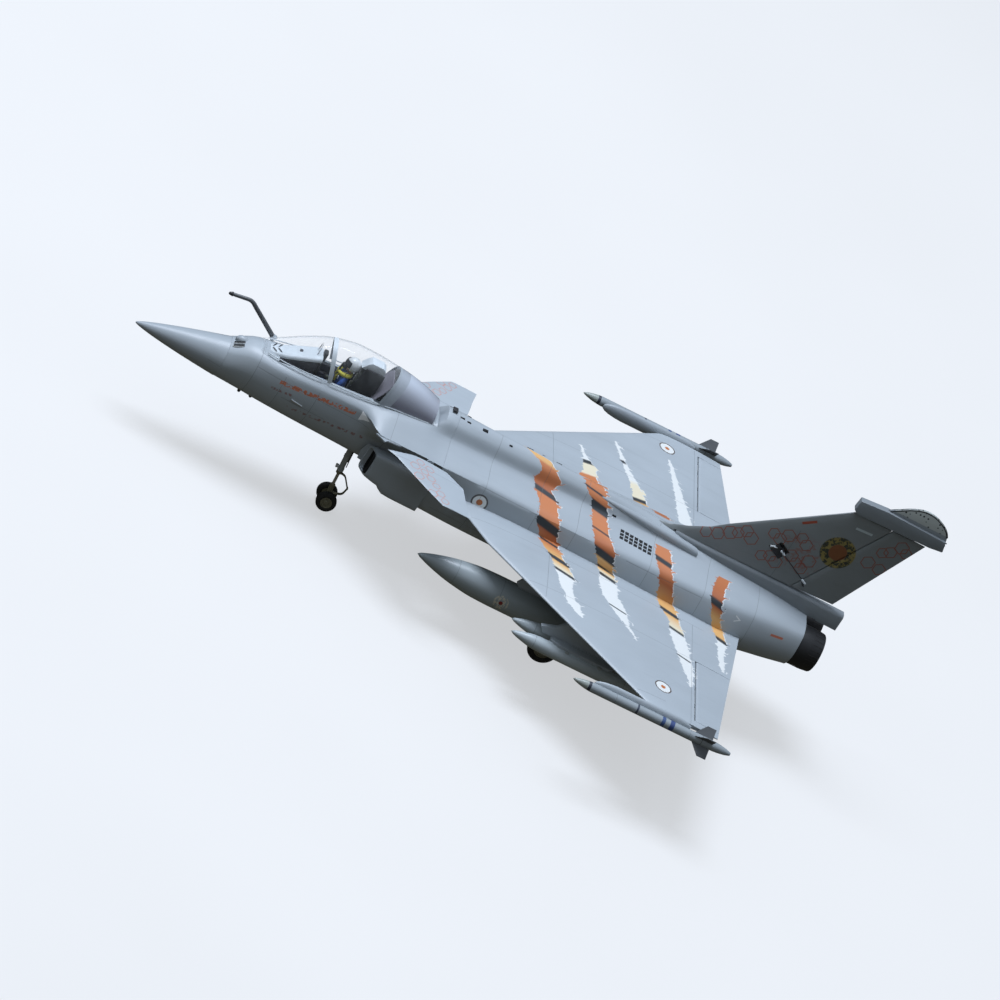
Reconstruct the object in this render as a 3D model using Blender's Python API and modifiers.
"""Radio-controlled ducted-fan delta jet with canards, drop tanks and retractable undercarriage.

Row frame: metres, nose towards -Y, port wing towards +X, up +Z. The tyres stand on z = 0 and the
body lines are symmetric about x = 0. Tables hold millimetres and `mm` turns them into metres.
"""
import math

import bmesh
import bpy
import numpy as np
from mathutils import Matrix, Vector

NAME = "rc_jet_plane"
MM = 0.001
GAP = 0.3                       # between pieces that touch
WALL = 6.5                      # foam shell of the fuselage

# Fuselage joints along Y
NOSE_TIP, NOSE_JOINT, FRONT_JOINT, TAIL_END = -767.0, -594.0, -150.0, 620.0

# Wing: flat delta with a curved root extension
WING_Z = 193.0
WING_ROOT_X, WING_TIP_X = 88.0, 496.0
WING_LE = ((88.0, -119.0), (150.0, -72.0), (205.0, -28.0), (496.0, 324.0))
WING_TE = ((88.0, 508.0), (496.0, 462.0))
ROOT_THICK, TIP_THICK = 24.0, 9.0
ELEVON_X = (271.0, 477.0)
ELEVON_Y = 416.0                # hinge line of the elevons
SPAR_Y, SPAR_R = 96.0, 5.0

# Canards turn on a cross shaft
CANARD_Z, CANARD_Y = 237.0, -176.0

# Fin and rudder; the rudder's hinge line leans back
FIN_BASE_Z, FIN_TOP_Z = 286.0, 494.0
HINGE_Y, HINGE_Z = 559.0, 272.0
HINGE_LEAN = math.atan2(121.0, 223.0)

# Ducted fan
FAN_Z, FAN_FRONT, FAN_REAR, FAN_BORE_R, FAN_SKIN = 192.0, 302.0, 352.0, 40.5, 2.5
NOZZLE_X, NOZZLE_Z, NOZZLE_R = 41.6, 202.0, 41.0

# Undercarriage: pivots and axles
NOSE_PIVOT = (0.0, -294.0, 160.0)
NOSE_AXLE = (0.0, -282.0, 20.0)
NOSE_TYRE_R, NOSE_TYRE_X = 20.0, 17.5
MAIN_PIVOT = (160.0, 180.0, 158.0)
MAIN_TYRE_R, MAIN_TYRE_W = 30.0, 20.0

# Stores
TANK_X, TANK_Z, TANK_R = 206.0, 109.0, 31.0
RACK_X, STORE_Z, STORE_R, STORE_PITCH = 317.0, 122.0, 14.0, 44.0
MISSILE_X, MISSILE_Z, MISSILE_R = 520.0, 189.5, 9.3

# Body lines: y, bottom z, then (x, z) of corner, side, shoulder, groove and spine, then top z
FRONT_LINES = (
    (-594, 150, 27, 161, 40, 190, 31, 216, 20, 225.0, 10, 229, 230),
    (-545, 149.5, 33, 160.5, 48, 203, 40, 234, 28, 245.0, 14, 250, 252),
    (-500, 148, 38, 159, 54, 204, 48, 238, 35, 248.0, 18, 252, 253),
    (-430, 145.5, 41, 156.5, 59, 206, 54, 243, 40, 254.0, 20, 257, 258),
    (-330, 143, 44, 154, 64, 207, 62, 247, 48, 260.0, 24, 264, 265),
    (-300, 142, 45, 153, 65, 207, 68, 245, 52, 262.0, 26, 268, 269),
    (-272, 141, 46, 152, 66, 206, 91, 241, 56, 265.0, 28, 272, 273),
    (-200, 139, 48, 150, 68, 205, 98, 241, 50, 268.0, 28, 277, 279),
    (-182, 138, 48, 149, 68, 205, 99, 241, 46, 267.0, 29, 279, 281),
    (-172, 138, 48, 149, 68, 204, 99, 240, 44, 266.0, 27, 292, 302),
    (-150, 137, 49, 148, 69, 204, 100, 239, 42, 265.0, 26, 290, 301),
)
REAR_LINES = (
    (-150, 126, 86, 130, 105, 182, 100, 239, 42, 265.0, 26, 290, 301),
    (-60, 125, 90, 129, 109, 184, 103, 238, 36, 263.0, 22, 287, 299),
    (60, 125, 92, 129, 113, 187, 106, 239, 32, 263.0, 20, 286, 297),
    (200, 127, 92, 131, 116, 190, 108, 240, 30, 264.0, 19, 281, 292),
    (300, 132, 92, 137, 118, 194, 108, 242, 30, 266.0, 20, 277, 284),
    (440, 143, 90, 148, 117, 196, 104, 243, 36, 262.0, 20, 266, 268),
    (560, 152, 74, 158, 98, 198, 84, 240, 44, 256.0, 20, 257, 258),
    (620, 157, 60, 162, 84, 199, 72, 237, 44, 248.0, 18, 249, 250),
)

WORD = {1: "left", -1: "right"}

PAINT = {
    "body_grey": ((0.30, 0.34, 0.36), 0.55, 0.0),
    "panel_grey": ((0.40, 0.44, 0.47), 0.5, 0.0),
    "dark_grey": ((0.10, 0.11, 0.11), 0.6, 0.0),
    "black": ((0.02, 0.02, 0.02), 0.5, 0.0),
    "rubber": ((0.03, 0.03, 0.03), 0.8, 0.0),
    "alloy": ((0.62, 0.63, 0.64), 0.35, 0.9),
    "steel": ((0.55, 0.55, 0.56), 0.3, 1.0),
    "clear": ((0.75, 0.80, 0.85), 0.05, 0.0),
    "cockpit": ((0.22, 0.24, 0.25), 0.7, 0.0),
    "figure": ((0.15, 0.28, 0.55), 0.7, 0.0),
    "cell_wrap": ((0.10, 0.20, 0.45), 0.5, 0.0),
    "carbon": ((0.05, 0.05, 0.06), 0.4, 0.2),
    "board": ((0.55, 0.40, 0.22), 0.7, 0.0),
    "store_grey": ((0.33, 0.37, 0.38), 0.5, 0.0),
}

for old in list(bpy.data.objects):
    bpy.data.objects.remove(old, do_unlink=True)
for old in list(bpy.data.collections):
    bpy.data.collections.remove(old)

PARTS = bpy.data.collections.new(NAME)
CUTTERS = bpy.data.collections.new("cutters")
for group in (PARTS, CUTTERS):
    bpy.context.scene.collection.children.link(group)


# ---------------------------------------------------------------- helpers
def mm(*xyz):
    """A point given in millimetres, as a vector in metres."""
    return Vector(xyz) * MM


def material(paint):
    found = bpy.data.materials.get(paint)
    if found:
        return found
    colour, rough, metal = PAINT[paint]
    new = bpy.data.materials.new(paint)
    new.use_nodes = True
    shader = new.node_tree.nodes["Principled BSDF"]
    shader.inputs["Base Color"].default_value = (*colour, 1.0)
    shader.inputs["Roughness"].default_value = rough
    shader.inputs["Metallic"].default_value = metal
    return new


def keep(name, bm, paint, at=(0, 0, 0)):
    """Turn a bmesh built in metres about the point `at` (mm) into one named part."""
    bmesh.ops.recalc_face_normals(bm, faces=bm.faces)
    mesh = bpy.data.meshes.new(name)
    bm.to_mesh(mesh)
    bm.free()
    part = bpy.data.objects.new(name, mesh)
    part.location = mm(*at)
    if paint:
        mesh.materials.append(material(paint))
        PARTS.objects.link(part)
    else:
        CUTTERS.objects.link(part)
        part.hide_render = True
        part.display_type = "WIRE"
    return part


def cut(part, *tools):
    """Subtract tools from a part with exact booleans."""
    for tool in tools:
        step = part.modifiers.new("cut " + tool.name, "BOOLEAN")
        step.operation = "DIFFERENCE"
        step.solver = "EXACT"
        step.object = tool


def fuse(part, *tools):
    for tool in tools:
        step = part.modifiers.new("join " + tool.name, "BOOLEAN")
        step.operation = "UNION"
        step.solver = "EXACT"
        step.object = tool


def pchip(xs, ys, x):
    """Shape-preserving cubic through (xs, ys), so a row of stations never overshoots."""
    xs, ys, x = np.asarray(xs, float), np.asarray(ys, float), np.asarray(x, float)
    h, d = np.diff(xs), np.diff(ys) / np.diff(xs)
    m = np.zeros_like(ys)
    m[0], m[-1] = d[0], d[-1]
    for i in range(1, len(xs) - 1):
        if d[i - 1] * d[i] > 0:
            a, b = 2 * h[i] + h[i - 1], h[i] + 2 * h[i - 1]
            m[i] = (a + b) / (a / d[i - 1] + b / d[i])
    k = np.clip(np.searchsorted(xs, x) - 1, 0, len(xs) - 2)
    t = (x - xs[k]) / h[k]
    return ((1 + 2 * t) * (1 - t) ** 2 * ys[k] + t * (1 - t) ** 2 * h[k] * m[k]
            + t * t * (3 - 2 * t) * ys[k + 1] + t * t * (t - 1) * h[k] * m[k + 1])


def loft(bm, rings, caps=True):
    """Skin a list of closed rings (mm points, same count) with quads and capped ends."""
    rows = [[bm.verts.new(mm(*p)) for p in ring] for ring in rings]
    count = len(rows[0])
    for a, b in zip(rows, rows[1:]):
        for i in range(count):
            j = (i + 1) % count
            bm.faces.new((a[i], a[j], b[j], b[i]))
    if caps:
        bm.faces.new(rows[0])
        bm.faces.new(list(reversed(rows[-1])))


def box(bm, low, high):
    """A box between two corners in millimetres."""
    low, high = Vector(low), Vector(high)
    size = (high - low) * MM
    place = Matrix.Translation((low + high) * 0.5 * MM) @ Matrix.Diagonal((*size, 1))
    bmesh.ops.create_cube(bm, size=1.0, matrix=place)


def cylinder(bm, centre, radius, length, axis="Z", sides=20, top=None):
    """A cylinder or cone frustum centred on a point, along X, Y, Z or a given direction."""
    ways = {"X": (1, 0, 0), "Y": (0, 1, 0), "Z": (0, 0, 1)}
    way = Vector(ways.get(axis, axis)) if isinstance(axis, str) else Vector(axis)
    turn = way.to_track_quat("Z", "Y").to_matrix().to_4x4()
    bmesh.ops.create_cone(bm, cap_ends=True, segments=sides, radius1=radius * MM,
                          radius2=(radius if top is None else top) * MM, depth=length * MM,
                          matrix=Matrix.Translation(mm(*centre)) @ turn)


def turned(bm, profile, centre, axis="Y", sides=20):
    """Rings of (place along the axis, radius) about a line through `centre`; radius 0 is a tip."""
    def point(s, r, k):
        a = 2 * math.pi * k / sides
        u, v = r * math.cos(a), r * math.sin(a)
        off = {"Y": (u, s, v), "X": (s, u, v), "Z": (u, v, s)}[axis]
        return mm(*(Vector(centre) + Vector(off)))
    rows = []
    for s, r in profile:
        if r <= 0:
            rows.append([bm.verts.new(point(s, 0, 0))])
        else:
            rows.append([bm.verts.new(point(s, r, k)) for k in range(sides)])
    for a, b in zip(rows, rows[1:]):
        for k in range(sides):
            j = (k + 1) % sides
            face = [a[k % len(a)], a[j % len(a)], b[j % len(b)], b[k % len(b)]]
            bm.faces.new(list(dict.fromkeys(face)))
    for row, flip in ((rows[0], False), (rows[-1], True)):
        if len(row) > 1:
            bm.faces.new(list(reversed(row)) if flip else row)


def slab(bm, outline, low, high, axis):
    """A flat outline (mm, in the two axes left over) extruded from low to high along an axis."""
    def point(p, s):
        return {"X": (s, p[0], p[1]), "Y": (p[0], s, p[1]), "Z": (p[0], p[1], s)}[axis]
    loft(bm, [[point(p, low) for p in outline], [point(p, high) for p in outline]])


def rod(name, points, radius, paint, tip=None):
    """A round bar bent along a list of points, made as a bevelled curve with closed ends."""
    curve = bpy.data.curves.new(name, "CURVE")
    curve.dimensions = "3D"
    curve.bevel_depth = radius * MM
    curve.bevel_resolution = 2
    curve.use_fill_caps = True
    line = curve.splines.new("POLY")
    line.points.add(len(points) - 1)
    for k, p in enumerate(points):
        line.points[k].co = (*mm(*p), 1.0)
        if tip:
            line.points[k].radius = 1 + (tip - 1) * k / (len(points) - 1)
    part = bpy.data.objects.new(name, curve)
    curve.materials.append(material(paint))
    PARTS.objects.link(part)
    return part


def cutter(name, build, *args, **kwargs):
    bm = bmesh.new()
    build(bm, *args, **kwargs)
    return keep(name, bm, None)


# ---------------------------------------------------------------- body lines
def body_ring(lines, y, offset=0.0, per_side=2):
    """One cross-section of the fuselage, moved inwards by `offset` millimetres."""
    ys = [row[0] for row in lines]
    v = [float(pchip(ys, [row[k] for row in lines], y)) for k in range(1, 13)]
    keys = [(0, v[0]), (v[1], v[2]), (v[3], v[4]), (v[5], v[6]), (v[7], v[8]), (v[9], v[10]), (0, v[11])]
    full = [(-keys[1][0], keys[1][1])] + keys + [(-keys[-2][0], keys[-2][1])]
    s = np.concatenate(([0], np.cumsum([math.dist(a, b) for a, b in zip(full, full[1:])])))
    fine = np.concatenate([np.linspace(s[k], s[k + 1], per_side, endpoint=False) for k in range(1, 7)] + [[s[7]]])
    half = list(zip(pchip(s, [p[0] for p in full], fine), pchip(s, [p[1] for p in full], fine)))
    ring = np.array(half + [(-x, z) for x, z in reversed(half[1:-1])])
    if offset:
        along = np.roll(ring, -1, 0) - np.roll(ring, 1, 0)
        along /= np.linalg.norm(along, axis=1)[:, None]
        ring = ring + offset * np.stack([-along[:, 1], along[:, 0]], 1)
    return [(x, y, z) for x, z in ring]


def body_places(lines, step=48.0):
    """Where the fuselage has cross-sections: at every station, and between the far apart ones."""
    ys = [row[0] for row in lines]
    found = []
    for a, b in zip(ys, ys[1:]):
        found += list(np.linspace(a, b, max(1, round((b - a) / step)), endpoint=False))
    return found + [ys[-1]]


def body_loft(bm, lines, end, offset=0.0):
    """The outside of a fuselage shell, up to `end` along Y."""
    places = [y for y in body_places(lines) if y < end - 1]
    rings = [body_ring(lines, y, offset) for y in places]
    loft(bm, rings + [[(x, end, z) for x, _, z in body_ring(lines, lines[-1][0], offset)]])


def long_loft(bm, lines, offset):
    """The same surface moved in by `offset` and run 20 mm past both ends, to cut with."""
    rings = [body_ring(lines, y, offset) for y in body_places(lines)]
    first = [(x, y - 20, z) for x, y, z in rings[0]]
    last = [(x, y + 20, z) for x, y, z in rings[-1]]
    loft(bm, [first, *rings, last])


FRONT_SKIN = cutter("front_skin", long_loft, FRONT_LINES, -2 * GAP)
REAR_SKIN = cutter("rear_skin", long_loft, REAR_LINES, -GAP)


def nose_cone():
    bm = bmesh.new()
    rings = []
    for k in range(13):
        t = k / 12.0
        y = NOSE_TIP + 1.5 + (NOSE_JOINT - GAP - NOSE_TIP - 1.5) * t
        r = 1.2 + 38.8 * t ** 0.78
        z = 173.5 + 16.5 * t ** 1.05
        rings.append([(r * math.cos(a), y, z + r * math.sin(a)) for a in np.linspace(0, 2 * math.pi, 20, endpoint=False)])
    loft(bm, rings)
    part = keep("nose_cone", bm, "body_grey")
    cut(part, cutter("nose_hollow", turned, [(NOSE_JOINT - 118, 5), (NOSE_JOINT - 70, 20), (NOSE_JOINT + 5, 31)], (0, 0, 188), "Y"))


def fuselage():
    """Two foam shells, open to each other inside, with bays cut for gear, hatch and shafts."""
    bm = bmesh.new()
    body_loft(bm, FRONT_LINES, FRONT_JOINT - GAP)
    front = keep("front_fuselage", bm, "body_grey")
    inner = cutter("front_cavity", long_loft, FRONT_LINES, WALL)
    hatch = cutter("hatch_opening", slab, hatch_outline(), 215, 330, "Z")
    bay = cutter("nose_bay", box, (-31, -464, 120), (31, -268, 182))
    shafts = cutter("canard_bores", cylinder, (0, CANARD_Y, CANARD_Z - 3), 3.0, 260, "X", 12)
    turret = cutter("sensor_turret", turned, [(-14, 0), (-11, 4.5), (-4, 7.5), (6, 7), (16, 3)], (0, -578, 232), "Y", 14)
    camera = cutter("sensor_bump", turned, [(-12, 0), (-9, 3), (-3, 4.5), (6, 3.5), (12, 1.5)], (19, -576, 226), "Y", 12)
    fuse(front, turret, camera)
    for k, y in enumerate((-539, -515)):
        fuse(front, cutter(f"air_data_vane_{k}", box, (9.5, y, 139), (10.5, y + 8, 158)))
    cut(front, inner, hatch, bay, shafts)

    bm = bmesh.new()
    body_loft(bm, REAR_LINES, TAIL_END)
    rear = keep("rear_fuselage", bm, "body_grey")
    inner = cutter("rear_cavity", long_loft, REAR_LINES, WALL)
    wells = cutter("wheel_wells", box, (-66, 144, 100), (66, 216, 174))
    slots = cutter("leg_slots", box, (-150, 166, 100), (150, 194, 172))
    spars = cutter("spar_bores", cylinder, (0, SPAR_Y, WING_Z), SPAR_R + GAP, 512, "X", 16)
    cut(rear, inner, wells, slots, spars)
    return spars


def tail_fairing():
    """The beam under the fin that runs on past the nozzles."""
    bm = bmesh.new()
    rings = []
    for y, w, top, low in ((318, 9, 286, 262), (376, 14, 285.5, 258), (470, 13.5, 285, 252), (683, 12.5, 281, 247)):
        rings.append([(-w, y, low), (w, y, low), (w, y, top - 6), (w * 0.55, y, top), (-w * 0.55, y, top), (-w, y, top - 6)])
    loft(bm, rings)
    part = keep("tail_fairing", bm, "body_grey")
    cut(part, REAR_SKIN)


def duct_ring(y, x0, x1, z0, z1, power, side, grow=0.0, count=16):
    """A rounded-rectangle section between x0..x1 and z0..z1; `power` 2 is an ellipse."""
    cx, cz, rx, rz = (x0 + x1) / 2, (z0 + z1) / 2, (x1 - x0) / 2 + grow, (z1 - z0) / 2 + grow
    ring = []
    for a in np.linspace(0, 2 * math.pi, count, endpoint=False):
        c, s = math.cos(a), math.sin(a)
        ring.append((side * (cx + rx * math.copysign(abs(c) ** (2 / power), c)), y,
                     cz + rz * math.copysign(abs(s) ** (2 / power), s)))
    return ring


def intakes():
    """Side inlets under the shoulders, and the forked duct that carries their air back to the fan."""
    outer = ((-282, 70, 100, 146, 199), (-240, 70, 102, 139, 202), (-222, 70, 103, 128, 203),
             (FRONT_JOINT - GAP, 70, 104.5, 126.5, 204))
    throat = ((-300, 73, 97, 149, 196), (-240, 73.5, 98, 149, 197), (-130, 74, 99, 138, 197))
    for side in (1, -1):
        bm = bmesh.new()
        loft(bm, [duct_ring(*row, 3.2, side) for row in outer])
        part = keep(f"{WORD[side]}_intake", bm, "body_grey")
        cut(part, FRONT_SKIN, cutter(f"throat_{side}", loft, [duct_ring(*row, 3.0, side) for row in throat]))

    route = ((FRONT_JOINT + GAP, 72, 93, 147, 196, 2.6), (20, 50, 94, 152, 214, 2.6),
             (130, 20, 84, 178, 236, 2.4), (220, 3, 64, 178, 238, 2.4), (FAN_FRONT - 2, -4, 40, 154, 230, 2.2))
    bores = []
    bm = bmesh.new()
    loft(bm, [duct_ring(*row, 1) for row in route])
    part = keep("intake_duct", bm, "dark_grey")
    fuse(part, cutter("duct_arm_right", loft, [duct_ring(*row, -1) for row in route]))
    for side in (1, -1):
        inner = [(row[0] + (-8 if k == 0 else 8 if k == 4 else 0), *row[1:]) for k, row in enumerate(route)]
        bores.append(cutter(f"duct_bore_{side}", loft, [duct_ring(*row, side, -1.8) for row in inner]))
    cut(part, *bores)


# ---------------------------------------------------------------- cockpit
CANOPY = ((-541, 23, 3), (-506, 33, 25), (-470, 40, 46), (-426, 44, 64), (-379, 46, 71), (-326, 46, 66),
          (-280, 44, 57), (-230, 41, 43), (-196, 38, 30))


def sill(y):
    """Height of the fuselage deck under the canopy."""
    return float(pchip([row[0] for row in FRONT_LINES], [row[9] for row in FRONT_LINES], y)) + 4.5


def hatch_outline(gap=0.0):
    """Plan of the lift-off hatch, narrower in front; `gap` makes it smaller all round."""
    half = [(26, -538), (37.5, -512), (37.5, -184)]
    half = [(x - gap, y + (gap if y < -500 else -gap if y > -200 else 0)) for x, y in half]
    return half + [(-x, y) for x, y in reversed(half)]


def canopy_ring(y, half, rise, shrink=0.0):
    w, h, z0 = half - shrink, max(rise - shrink, 0.8), sill(y)
    arc = [(math.copysign(w * abs(math.cos(a)) ** 0.8, math.cos(a)), y, z0 + h * math.sin(a))
           for a in np.linspace(0, math.pi, 11)]
    return [(w, y, z0 - 12)] + arc + [(-w, y, z0 - 12)] if not shrink else arc


def cockpit():
    """Lift-off hatch: rim, glazing, tub with its hood, seat, figure and sight glass."""
    bm = bmesh.new()
    loft(bm, [canopy_ring(*row) for row in CANOPY])
    part = keep("canopy_glazing", bm, "clear")
    ys, halves, rises = zip(*CANOPY)
    inner = []
    for y in (-533, -506, -470, -426, -379, -326, -280, -230, -202):
        ring = canopy_ring(y, float(pchip(ys, halves, y)), float(pchip(ys, rises, y)), 1.6)
        inner.append([ring[0][:2] + (ring[0][2] - 14,), *ring, ring[-1][:2] + (ring[-1][2] - 14,)])
    cut(part, cutter("canopy_inside", loft, inner), FRONT_SKIN)

    bm = bmesh.new()
    body_loft(bm, FRONT_LINES, FRONT_JOINT - GAP)
    rim = keep("canopy_frame", bm, "body_grey")
    step = rim.modifiers.new("hatch outline", "BOOLEAN")
    step.operation, step.solver = "INTERSECT", "EXACT"
    step.object = cutter("hatch_plate", slab, hatch_outline(GAP), 215, 330, "Z")
    cut(rim, bpy.data.objects["front_cavity"], cutter("tub_hole", box, (-32.5, -504, 200), (32.5, -291.6, 330)))

    bm = bmesh.new()
    slab(bm, [(-502, 250), (-502, 238), (-470, 205), (-292, 205), (-292, 258), (-300, 258), (-300, 210),
              (-440, 210), (-440, 250)], -30, 30, "X")
    tub = keep("cockpit_tub", bm, "cockpit")
    for side in (1, -1):
        wall = cutter(f"tub_wall_{side}", box, *mirrored(side, (29.5, -441, 205.2), (32, -292.2, 250)))
        fuse(tub, wall)
    hood = cutter("instrument_hood", slab, [(-501, 240), (-441, 240), (-432, 268), (-431, 286), (-436, 288), (-498, 260)], -23, 23, "X")
    sight = cutter("sight_glass", slab, [(-456, 276), (-444, 276), (-441, 306), (-444, 307)], -9, 9, "X")
    fuse(tub, hood, sight)

    bm = bmesh.new()
    slab(bm, [(-356, 211), (-322, 211), (-315, 262), (-314, 318), (-346, 320), (-357, 306), (-348, 262), (-356, 224)], -15, 15, "X")
    keep("ejection_seat", bm, "black")

    bm = bmesh.new()
    rings = []
    for z, w, d, y in ((226, 13, 9, -378), (246, 14, 9, -377), (262, 17, 9, -376), (272, 14, 8, -375), (277, 8, 8, -374),
                       (281, 10, 10, -374), (287, 14, 14, -375), (296, 14.5, 15, -375), (303, 11, 12, -374), (308, 5, 6, -373)):
        rings.append([(w * math.cos(a), y + d * math.sin(a), z) for a in np.linspace(0, 2 * math.pi, 12, endpoint=False)])
    loft(bm, rings)
    keep("pilot_figure", bm, "figure")

    bm = bmesh.new()
    box(bm, (-7, -168, 302.6), (7, -158, 306))
    keep("hatch_latch", bm, "black")


# ---------------------------------------------------------------- flying surfaces
def chord_at(x):
    le = np.interp(x, [p[0] for p in WING_LE], [p[1] for p in WING_LE])
    te = np.interp(x, [p[0] for p in WING_TE], [p[1] for p in WING_TE])
    return float(le), float(te)


def wing_half(x, y):
    """Half thickness of the wing at a place, with a blunt trailing edge."""
    le, te = chord_at(x)
    s = min(max((y - le) / (te - le), 0.0), 1.0)
    full = np.interp(x, (WING_ROOT_X, WING_TIP_X), (ROOT_THICK, TIP_THICK))
    shape = 5 * (0.2969 * s ** 0.5 - 0.1260 * s - 0.3516 * s * s + 0.2843 * s ** 3 - 0.1036 * s ** 4)
    return full * shape + 0.7 * s ** 0.5


def foil_ring(x, y_from, y_to, side, count=8):
    """Closed section of the wing between two chord places."""
    ys = y_from + (y_to - y_from) * (1 - np.cos(np.linspace(0, math.pi, count))) / 2
    top = [(side * x, y, WING_Z + wing_half(x, y)) for y in ys]
    low = [(side * x, y, WING_Z - wing_half(x, y)) for y in ys[::-1]]
    start = 1 if y_from <= chord_at(x)[0] + 0.01 else 0
    return top + low[:len(low) - start]


def mirrored(side, low, high):
    """Corners of a box given for the port side, for either side."""
    xs = sorted((side * low[0], side * high[0]))
    return (xs[0], low[1], low[2]), (xs[1], high[1], high[2])


def wings(spars):
    for side in (1, -1):
        bm = bmesh.new()
        loft(bm, [foil_ring(x, *chord_at(x), side) for x in (88, 119, 150, 178, 205, 271, 340, 410, 477, 496)])
        part = keep(f"{WORD[side]}_wing", bm, "panel_grey")
        notch = cutter(f"elevon_notch_{side}", box, *mirrored(side, (ELEVON_X[0], ELEVON_Y - 5, 150), (ELEVON_X[1], 560, 230)))
        servo = cutter(f"wing_servo_pocket_{side}", box, *mirrored(side, (295, 330, 170), (325, 356, 197)))
        unit = cutter(f"retract_pocket_{side}", box, *mirrored(side, (143, 160, 150), (177, 200, 188.5)))
        cut(part, REAR_SKIN, notch, servo, unit, spars)

        bm = bmesh.new()
        rings = []
        for x in (ELEVON_X[0] + 0.7, 340, 410, ELEVON_X[1] - 0.7):
            te = chord_at(x)[1]
            back = foil_ring(x, ELEVON_Y + 3.0, te, side, 5)
            h = wing_half(x, ELEVON_Y)
            front = [(side * x, ELEVON_Y - h * 0.6 * math.cos(a), WING_Z + h * math.sin(a) * 0.97)
                     for a in np.linspace(-math.pi / 2.4, math.pi / 2.4, 5)]
            rings.append(front + back)
        loft(bm, rings)
        elevon = keep(f"{WORD[side]}_elevon", bm, "panel_grey")
        horn = cutter(f"elevon_horn_{side}", slab, [(ELEVON_Y - 4, 168), (ELEVON_Y + 4, 168), (ELEVON_Y + 14, 192), (ELEVON_Y + 2, 194)],
                      side * 322.5, side * 324.5, "X")
        fuse(elevon, horn)
        for p in (elevon, horn):
            p.data.transform(Matrix.Translation(-mm(0, ELEVON_Y, WING_Z)))
            p.location = mm(0, ELEVON_Y, WING_Z)

        bm = bmesh.new()
        slab(bm, [(-4, 4), (4, 4), (3, -25), (-3, -25)], side * 317.0, side * 318.6, "X")
        keep(f"{WORD[side]}_elevon_arm", bm, "black", (0, 345, 190))
        bm = bmesh.new()
        cylinder(bm, (side * 320.3, 35.5, 1.5), 1.0, 74, (0, 71, 3), 8)
        keep(f"{WORD[side]}_elevon_rod", bm, "steel", (0, 345, 167))

    bm = bmesh.new()
    slab(bm, [(-100, 202), (-97, 168), (-85, 146), (85, 146), (97, 168), (100, 202), (92, 202), (90, 171), (81, 154),
              (-81, 154), (-90, 171), (-92, 202)],
         SPAR_Y - 3, SPAR_Y + 3, "Y")
    joiner = keep("wing_joiner", bm, "carbon")
    for side in (1, -1):
        fuse(joiner, cutter(f"spar_tube_{side}", cylinder, (side * 174, SPAR_Y, WING_Z), SPAR_R, 156, "X", 16))


def canards():
    plan = ((108, -219, -140), (127, -263, -117), (137, -243, -104), (229, -143, -88))
    for side in (1, -1):
        bm = bmesh.new()
        rings = []
        for x, le, te in plan:
            h = np.interp(x, (108, 229), (4.0, 1.6))
            ring = []
            for s, t in ((0, 0.12), (0.12, 0.8), (0.35, 1), (0.7, 0.7), (1, 0.18), (1, -0.18), (0.7, -0.7), (0.35, -1), (0.12, -0.8)):
                ring.append((side * x, le + (te - le) * s - CANARD_Y, t * h))
            rings.append(ring)
        loft(bm, rings)
        part = keep(f"{WORD[side]}_canard", bm, "panel_grey", (0, CANARD_Y, CANARD_Z - 3))
        shaft = cutter(f"canard_shaft_{side}", cylinder, (side * 59.2, 0, 0), 2.0, 118, "X", 10)
        shaft.location = part.location
        fuse(part, shaft)


def fin_half(y, z):
    """Half thickness of the fin at a place on its side."""
    return float(np.interp(z, (FIN_BASE_Z, FIN_TOP_Z), (7.5, 4.0)))


def hinge_y(z):
    return HINGE_Y + (z - HINGE_Z) * math.tan(HINGE_LEAN)


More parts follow.
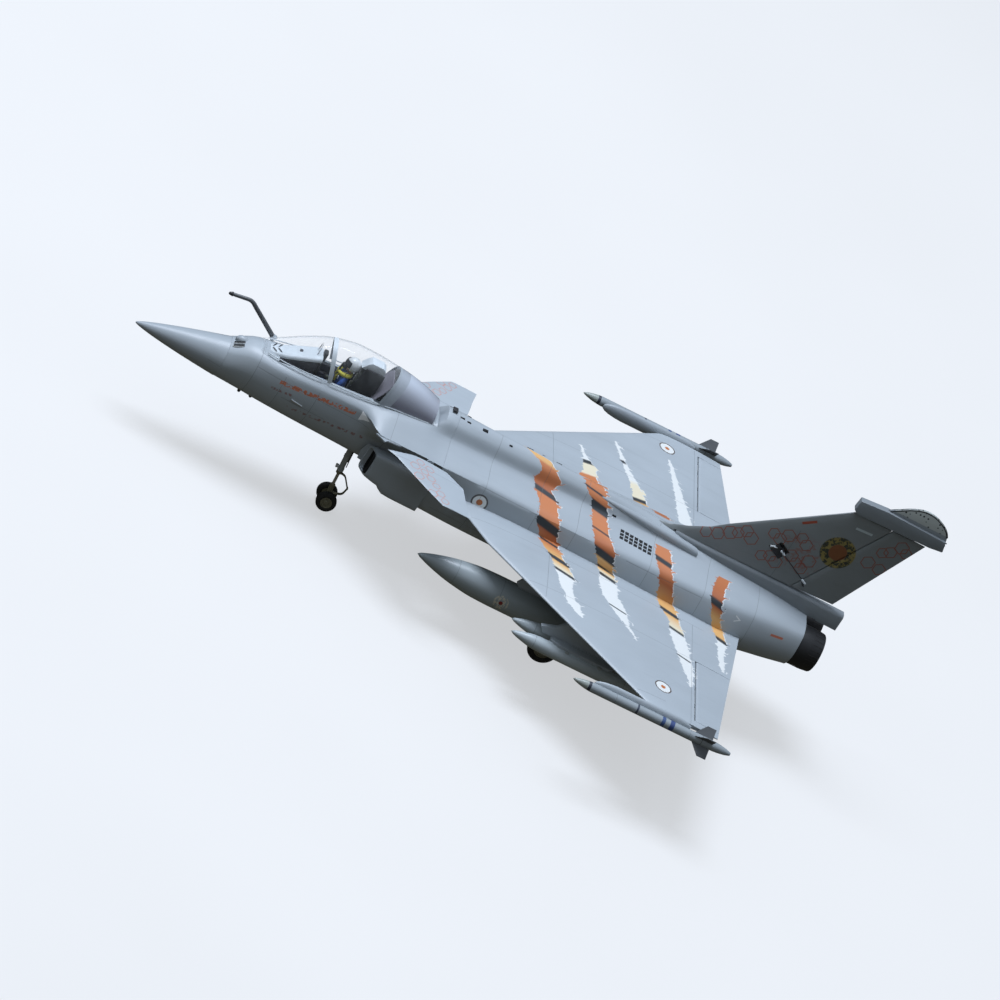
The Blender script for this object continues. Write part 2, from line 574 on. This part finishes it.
def fin():
    """Swept fin with a leaning hinge line, the rudder behind it and the pod on its tip."""
    le = ((278, 232), (289, 300), (303, 336), (322, 372), (344, 398), (400, 475), (484, 590))
    te = ((278, 649), (489, 743))
    def edge(z):
        return float(np.interp(z, [p[0] for p in le], [p[1] for p in le])), float(np.interp(z, *zip(*te)))
    heights = (271, 289, 303, 322, 344, 400, 450, 483)
    bm = bmesh.new()
    rings = []
    for z in heights:
        a, h = edge(z)[0], fin_half(0, z)
        b = hinge_y(z) - 5.5
        rings.append([(-0.7, a, z), (0.7, a, z), (h * 0.7, a + (b - a) * 0.12, z), (h, a + (b - a) * 0.4, z), (h * 0.85, b, z),
                      (-h * 0.85, b, z), (-h, a + (b - a) * 0.4, z), (-h * 0.7, a + (b - a) * 0.12, z)])
    loft(bm, rings)
    part = keep("fin", bm, "dark_grey")
    pocket = cutter("rudder_servo_pocket", box, (-3.5, -13.6, -13), (30, 13.6, 13))
    place = Matrix.Translation(mm(0, *rudder_link()[1])) @ Matrix.Rotation(-HINGE_LEAN, 4, "X")
    pocket.data.transform(place)
    under = cutter("fin_under", box, (-30, 314, 200), (30, 700, 286.4))
    cut(part, REAR_SKIN, pocket, under)

    bm = bmesh.new()
    rings = []
    for z in (288, 340, 400, 450, 483):
        h, b, y = fin_half(0, z) * 0.85, edge(z)[1], hinge_y(z)
        front = [(h * math.sin(t), y - h * 0.7 * math.cos(t), z) for t in np.linspace(-math.pi / 2.4, math.pi / 2.4, 5)]
        rings.append(front + [(0.7, b, z), (-0.7, b, z)])
    loft(bm, rings)
    rudder = keep("rudder", bm, "dark_grey")
    horn_at, _ = rudder_link()
    horn = cutter("rudder_horn", box, (0, -0.8, -1), (19, 5, 1))
    horn.data.transform(Matrix.Translation(mm(0, *horn_at)) @ Matrix.Rotation(-HINGE_LEAN, 4, "X"))
    fuse(rudder, horn)
    foot = mm(0, hinge_y(288), 288)
    for p in (rudder, horn):
        p.data.transform(Matrix.Translation(-foot))
        p.location = foot

    bm = bmesh.new()
    slab(bm, [(583, 491), (585, 514), (640, 518), (767, 514), (773, 492), (745, 488.5), (592, 484.5)], -9, 9, "X")
    pod = keep("fin_tip_pod", bm, "body_grey")
    bevel = pod.modifiers.new("round", "BEVEL")
    bevel.width, bevel.segments, bevel.limit_method = 4 * MM, 2, "ANGLE"
    cap = cutter("tip_cap", slab, [(630, 500), (640, 517), (662, 532), (688, 547), (712, 552), (738, 546), (759, 532), (769, 512), (765, 500)],
                 -2.5, 2.5, "X")
    fuse(pod, cap)


def rudder_link():
    """(y, z) of the horn's root on the rudder's hinge line and of the servo's shaft."""
    z = 306.0
    horn = (hinge_y(z), z)
    along = Vector((math.cos(HINGE_LEAN), -math.sin(HINGE_LEAN))) * 80
    return horn, (horn[0] - along.x, horn[1] - along.y)


def rudder_linkage():
    horn, shaft = rudder_link()
    turn = Matrix.Rotation(-HINGE_LEAN, 4, "X")
    bm = bmesh.new()
    box(bm, (-2.0, -3.0, 7.0), (18.5, 3.0, 8.6))
    arm = keep("rudder_arm", bm, "black", (0, *shaft))
    arm.data.transform(turn)
    bm = bmesh.new()
    cylinder(bm, (16, 40, 5.0), 1.0, 84, "Y", 8)
    link = keep("rudder_rod", bm, "steel", (0, *shaft))
    link.data.transform(turn)


def servos():
    """One servo in each wing, one in the fin, and one on the canards' shaft."""
    for side in (1, -1):
        bm = bmesh.new()
        box(bm, *mirrored(side, (296, 331, 184), (316, 355, 196)))
        keep(f"{WORD[side]}_elevon_servo", bm, "black")
    bm = bmesh.new()
    box(bm, (-3, -13, -12), (8.5, 13, 6.4))
    part = keep("rudder_servo", bm, "black", (0, *rudder_link()[1]))
    part.data.transform(Matrix.Rotation(-HINGE_LEAN, 4, "X"))
    bm = bmesh.new()
    box(bm, (-12, CANARD_Y - 12, CANARD_Z - 28), (12, CANARD_Y + 12, CANARD_Z - 5.4))
    keep("canard_servo", bm, "black")


# ---------------------------------------------------------------- propulsion and equipment
def fan():
    bm = bmesh.new()
    turned(bm, [(FAN_FRONT, FAN_BORE_R + FAN_SKIN), (FAN_REAR, FAN_BORE_R + FAN_SKIN)], (0, 0, FAN_Z), "Y", 32)
    part = keep("fan_housing", bm, "black")
    cut(part, cutter("fan_bore", turned, [(FAN_FRONT - 5, FAN_BORE_R), (FAN_REAR + 5, FAN_BORE_R)], (0, 0, FAN_Z), "Y", 32))
    hub = cutter("stator_hub", turned, [(FAN_FRONT + 24, 19), (FAN_REAR - 1, 19)], (0, 0, FAN_Z), "Y", 24)
    bm = bmesh.new()
    for k in range(5):
        vane = bmesh.new()
        box(vane, (17.5, FAN_FRONT + 27, -1.2), (42, FAN_REAR - 4, 1.2))
        mesh = bpy.data.meshes.new("vane")
        bmesh.ops.transform(vane, matrix=Matrix.Translation(mm(0, 0, FAN_Z)) @ Matrix.Rotation(2 * math.pi * k / 5, 4, "Y"), verts=vane.verts)
        vane.to_mesh(mesh)
        vane.free()
        bm.from_mesh(mesh)
    vanes = keep("stator_vanes", bm, None)
    motor_hole = cutter("motor_hole", cylinder, (0, FAN_FRONT + 37, FAN_Z), 16.3, 60, "Y", 24)
    fuse(part, hub, vanes)
    cut(part, motor_hole)

    bm = bmesh.new()
    turned(bm, [(FAN_FRONT + 25, 15.8), (FAN_REAR + 8, 15.8), (FAN_REAR + 18, 8)], (0, 0, FAN_Z), "Y", 20)
    keep("fan_motor", bm, "alloy")

    bm = bmesh.new()
    turned(bm, [(-4, 0), (0, 9), (6, 15), (14, 18), (22, 18)], (0, 0, 0), "Y", 24)
    rotor = keep("fan_rotor", bm, "black", (0, FAN_FRONT + 1, FAN_Z))
    bm = bmesh.new()
    for k in range(12):
        blade = bmesh.new()
        rings = []
        for r, twist, chord in ((16.5, 0.65, 13), (28, 0.95, 14), (39.6, 1.15, 14)):
            ring = []
            for u, v in ((-chord / 2, 0), (0, 0.8), (chord / 2, 0.3), (chord / 2, -0.3), (0, -0.5)):
                c, s = math.cos(twist), math.sin(twist)
                ring.append((u * s - v * c, 12 + u * c + v * s, r))
            rings.append(ring)
        loft(blade, rings)
        bmesh.ops.transform(blade, matrix=Matrix.Rotation(2 * math.pi * k / 12, 4, "Y"), verts=blade.verts)
        mesh = bpy.data.meshes.new("blade")
        blade.to_mesh(mesh)
        blade.free()
        bm.from_mesh(mesh)
    blades = keep("rotor_blades", bm, None)
    blades.location = rotor.location
    fuse(rotor, blades)

    bm = bmesh.new()
    tools = []
    arms = []
    for side in (1, -1):
        route = ((FAN_REAR + GAP + 0.5, 0, 42.5, FAN_Z), (FAN_REAR + 60, 14, 39, 194), (500, 37, 36.5, 200), (TAIL_END - 1, NOZZLE_X - 1, 34.5, NOZZLE_Z))
        def ring(y, x, r, z, grow=0.0):
            return [(side * x + (r + grow) * math.cos(a), y, z + (r + grow) * math.sin(a)) for a in np.linspace(0, 2 * math.pi, 24, endpoint=False)]
        arms.append(cutter(f"thrust_arm_{side}", loft, [ring(*row) for row in route]))
        bore = [(row[0] + (-5 if k == 0 else 5 if k == 3 else 0), *row[1:]) for k, row in enumerate(route)]
        tools.append(cutter(f"thrust_bore_{side}", loft, [ring(*row, -1.6) for row in bore]))
    loft(bm, [ring(*row) for row in route])
    part = keep("thrust_duct", bm, "alloy")
    fuse(part, arms[0])
    cut(part, *tools)

    skins, bores = [], []
    for side in (1, -1):
        at = (side * NOZZLE_X, 0, NOZZLE_Z)
        skins.append([(TAIL_END + GAP, NOZZLE_R), (TAIL_END + 22, NOZZLE_R), (TAIL_END + 48, 38.3)])
        bores.append(cutter(f"nozzle_bore_{side}", turned, [(TAIL_END - 5, 37.5), (TAIL_END + 20, 37), (TAIL_END + 60, 33)], at, "Y", 20))
    bm = bmesh.new()
    turned(bm, skins[0], (NOZZLE_X, 0, NOZZLE_Z), "Y", 20)
    part = keep("nozzles", bm, "black")
    fuse(part, cutter("nozzle_right", turned, skins[1], (-NOZZLE_X, 0, NOZZLE_Z), "Y", 20),
         cutter("nozzle_web", box, (-12, TAIL_END + 0.5, NOZZLE_Z - 14), (12, TAIL_END + 18, NOZZLE_Z + 14)))
    cut(part, *bores)


def equipment():
    for name, paint, low, high in (("battery", "cell_wrap", (-24, -254, 152), (24, -106, 195)),
                                   ("speed_controller", "black", (-16, -90, 136), (16, -20, 152)),
                                   ("receiver", "black", (-14, -90, 160), (14, -40, 174))):
        bm = bmesh.new()
        box(bm, low, high)
        keep(name, bm, paint)


# ---------------------------------------------------------------- undercarriage
def nose_gear():
    px, py, pz = NOSE_PIVOT
    bm = bmesh.new()
    box(bm, (-16, py - 14, pz + 12), (16, py + 26, 182))
    part = keep("nose_retract", bm, "black")
    fuse(part, cutter("nose_mount_plate", box, (-33, py + 24, 157), (33, py + 29, 196)))
    for side in (1, -1):
        fuse(part, cutter(f"nose_cheek_{side}", box, *mirrored(side, (10.5, py - 10, pz - 8), (15.9, py + 26, pz + 14))))
    cut(part, cutter("nose_pin_bore", cylinder, NOSE_PIVOT, 2.6, 60, "X", 16))

    down = (Vector(NOSE_AXLE) - Vector(NOSE_PIVOT)).normalized()
    def along(s):
        return Vector((0, 0, 0)) + down * s
    bm = bmesh.new()
    cylinder(bm, (0, 0, 0), 2.5, 31, "X", 16)
    strut = keep("nose_strut", bm, "alloy", NOSE_PIVOT)
    block = cutter("nose_block", cylinder, (0, 0, 0), 7.5, 20, "X", 16)
    tube = cutter("nose_tube", cylinder, tuple(along(40)), 5.5, 76, tuple(down), 16)
    for t in (block, tube):
        t.location = strut.location
    fuse(strut, block, tube)
    bore = cutter("nose_tube_bore", cylinder, tuple(along(66)), 3.3, 50, tuple(down), 16)
    bore.location = strut.location
    cut(strut, bore)

    bm = bmesh.new()
    cylinder(bm, tuple(along(88)), 3.0, 76, tuple(down), 14)
    yoke = keep("nose_yoke", bm, "steel", NOSE_PIVOT)
    foot = cutter("nose_foot", cylinder, tuple(along(128)), 5.0, 20, tuple(down), 14)
    ends = Vector(NOSE_AXLE) - Vector(NOSE_PIVOT)
    sleeve = cutter("nose_sleeve", cylinder, tuple(ends), 5.0, 14, "X", 14)
    for t in (foot, sleeve):
        t.location = yoke.location
    fuse(yoke, foot, sleeve)
    axle_bore = cutter("nose_axle_bore", cylinder, tuple(ends), 2.1, 40, "X", 14)
    axle_bore.location = yoke.location
    link = cutter("nose_link", slab, [(7, -84), (14, -86), (30, -108), (26, -124), (10, -129), (10, -124), (22, -120),
                                      (25, -109), (12, -91), (7, -90)], -2, 2, "X")
    link.location = yoke.location
    fuse(yoke, link)
    cut(yoke, axle_bore)

    bm = bmesh.new()
    cylinder(bm, (0, 0, 0), 2.0, 52, "X", 14)
    wheels = keep("nose_wheels", bm, "alloy", NOSE_AXLE)
    for side in (1, -1):
        hub = cutter(f"nose_hub_{side}", cylinder, (side * NOSE_TYRE_X, 0, 0), 11.0, 15, "X", 20)
        hub.location = wheels.location
        fuse(wheels, hub)
    for side in (1, -1):
        bm = bmesh.new()
        tyre(bm, side * NOSE_TYRE_X, NOSE_TYRE_R, 11.3, 7.5)
        keep(f"{WORD[side]}_nose_tyre", bm, "rubber", NOSE_AXLE)


def tyre(bm, x, radius, bore, half):
    """A tyre as a turned ring about X."""
    profile = [(-half * 0.8, bore), (-half, bore + 2), (-half * 0.95, radius * 0.86), (-half * 0.45, radius),
               (half * 0.45, radius), (half * 0.95, radius * 0.86), (half, bore + 2), (half * 0.8, bore)]
    sides = 20
    rows = [[bm.verts.new(mm(x + s, r * math.cos(2 * math.pi * k / sides), r * math.sin(2 * math.pi * k / sides)))
             for k in range(sides)] for s, r in profile]
    for a, b in zip(rows, rows[1:] + rows[:1]):
        for k in range(sides):
            j = (k + 1) % sides
            bm.faces.new((a[k], a[j], b[j], b[k]))


def main_gear():
    px, py, pz = MAIN_PIVOT
    drop = pz - MAIN_TYRE_R
    for side in (1, -1):
        at = (side * px, py, pz)
        bm = bmesh.new()
        box(bm, *mirrored(side, (143.5, 160.5, pz + 12), (176.5, 199.5, 188)))
        unit = keep(f"{WORD[side]}_main_retract", bm, "black")
        for k, (y0, y1) in enumerate(((160.6, 168), (192, 199.4))):
            fuse(unit, cutter(f"main_cheek_{side}_{k}", box, *mirrored(side, (150, y0, pz - 8), (170, y1, pz + 14))))
        cut(unit, cutter(f"main_pin_bore_{side}", cylinder, at, 2.6, 60, "Y", 16))

        bm = bmesh.new()
        cylinder(bm, (0, 0, 0), 2.5, 38, "Y", 16)
        leg = keep(f"{WORD[side]}_main_leg", bm, "alloy", at)
        pieces = [cutter(f"main_block_{side}", cylinder, (0, 0, 0), 8.0, 22, "Y", 16),
                  cutter(f"main_tube_{side}", cylinder, (0, 0, -50), 6.0, 96, "Z", 16),
                  cutter(f"main_slider_{side}", cylinder, (0, 0, -108), 4.2, 50, "Z", 14),
                  cutter(f"main_knee_{side}", cylinder, (side * -1.5, 0, -drop), 6.0, 14, "X", 14),
                  cutter(f"main_axle_{side}", cylinder, (side * 12, 0, -drop), 2.5, 34, "X", 14)]
        for p in pieces:
            p.location = leg.location
        fuse(leg, *pieces)

        wheel_at = (side * px, py, MAIN_TYRE_R)
        bm = bmesh.new()
        turned(bm, [(7, 15), (7, 26), (10, 29), (14, MAIN_TYRE_R), (20, MAIN_TYRE_R), (24, 29), (27, 26), (27, 15)], (0, 0, 0), "X", 20)
        wheel = keep(f"{WORD[side]}_main_wheel", bm, "rubber", wheel_at)
        wheel.data.transform(Matrix.Diagonal((side, side, 1, 1)))
        hole = cutter(f"hub_bore_{side}", cylinder, (side * 17, 0, 0), 2.6, 40, "X", 14)
        hole.location = wheel.location
        cut(wheel, hole)


# ---------------------------------------------------------------- stores and small pieces
def stores():
    """Each side carries a tank and a twin rack on pylons, and a missile on its wing tip."""
    for side in (1, -1):
        under = cutter(f"wing_solid_{side}", wing_block, side)
        bm = bmesh.new()
        turned(bm, [(-129, 0), (-118, 6), (-90, 15), (-50, 24), (0, 30), (40, TANK_R), (120, TANK_R), (180, 27),
                    (230, 19), (275, 9), (292, 3)], (side * TANK_X, 0, TANK_Z), "Y", 24)
        tank = keep(f"{WORD[side]}_drop_tank", bm, "store_grey")
        pylon = cutter(f"tank_pylon_{side}", slab, [(60, 146), (74, 134), (180, 134), (230, 150), (225, 195), (96, 195), (68, 160)],
                       side * TANK_X - 4, side * TANK_X + 4, "X")
        fuse(tank, pylon)
        cut(tank, under)

        bm = bmesh.new()
        slab(bm, [(112, 150), (122, 138), (300, 138), (318, 150), (306, 195), (170, 195), (140, 160)],
             side * RACK_X - 5, side * RACK_X + 5, "X")
        rack = keep(f"{WORD[side]}_store_rack", bm, "body_grey")
        fuse(rack, cutter(f"rack_bar_{side}", box, *mirrored(side, (RACK_X - 26, 150, 130), (RACK_X + 26, 270, 141))))
        for k in (-1, 1):
            x = side * (RACK_X + k * STORE_PITCH / 2)
            fuse(rack, cutter(f"store_{side}_{k}", turned, [(65, 0), (72, 4), (90, 9), (112, 13), (130, STORE_R),
                                                             (320, STORE_R), (350, 9), (365, 5)], (x, 0, STORE_Z), "Y", 16))
        cut(rack, under)

        at = (side * MISSILE_X, 0, MISSILE_Z)
        bm = bmesh.new()
        turned(bm, [(162, 0), (166, 2.5), (176, 5.5), (192, 8.4), (204, MISSILE_R), (452, MISSILE_R), (478, 6.5), (490, 3)], at, "Y", 16)
        missile = keep(f"{WORD[side]}_wingtip_missile", bm, "store_grey")
        for k, turn in enumerate((45, 135)):
            blade = cutter(f"missile_fins_{side}_{k}", slab, [(-30, 432), (-30, 450), (30, 450), (30, 432), (8, 412), (-8, 412)], -0.8, 0.8, "Z")
            blade.data.transform(Matrix.Rotation(math.radians(turn), 4, "Y"))
            blade.location = mm(*at)
            fuse(missile, blade)
        rail = cutter(f"rail_{side}", rail_body, side)
        cut(rail, cutter(f"tip_room_{side}", box, *mirrored(side, (470, 180, 150), (WING_TIP_X + GAP, 520, 230))))
        fuse(missile, rail)


def rail_body(bm, side):
    rings = []
    for y, h, w in ((206, 5, 3), (222, 11, 6), (250, 14, 8), (380, 14, 8), (404, 8, 4)):
        rings.append([(side * (504.4 + w * math.cos(a)), y, 190.5 + h * math.sin(a)) for a in np.linspace(0, 2 * math.pi, 12, endpoint=False)])
    loft(bm, rings)


def wing_block(bm, side):
    """The wing grown by the joint gap, for trimming what hangs under it."""
    rings = []
    for x in (150, 205, 271, 340, 410):
        le, te = chord_at(x)
        ys = np.linspace(le - 1, te, 9)
        top = [(side * x, y, WING_Z + 40) for y in ys]
        low = [(side * x, y, WING_Z - wing_half(x, y) - GAP) for y in ys[::-1]]
        rings.append(top + low)
    loft(bm, rings)


def probe():
    rod("refuelling_probe", [(-38, -519, 250.5), (-38, -587, 297), (-38, -594, 300), (-38, -638, 293.5)],
        4.8, "dark_grey", 0.72)


nose_cone()
SPARS = fuselage()
tail_fairing()
intakes()
cockpit()
wings(SPARS)
canards()
fin()
rudder_linkage()
servos()
fan()
equipment()
nose_gear()
main_gear()
stores()
probe()
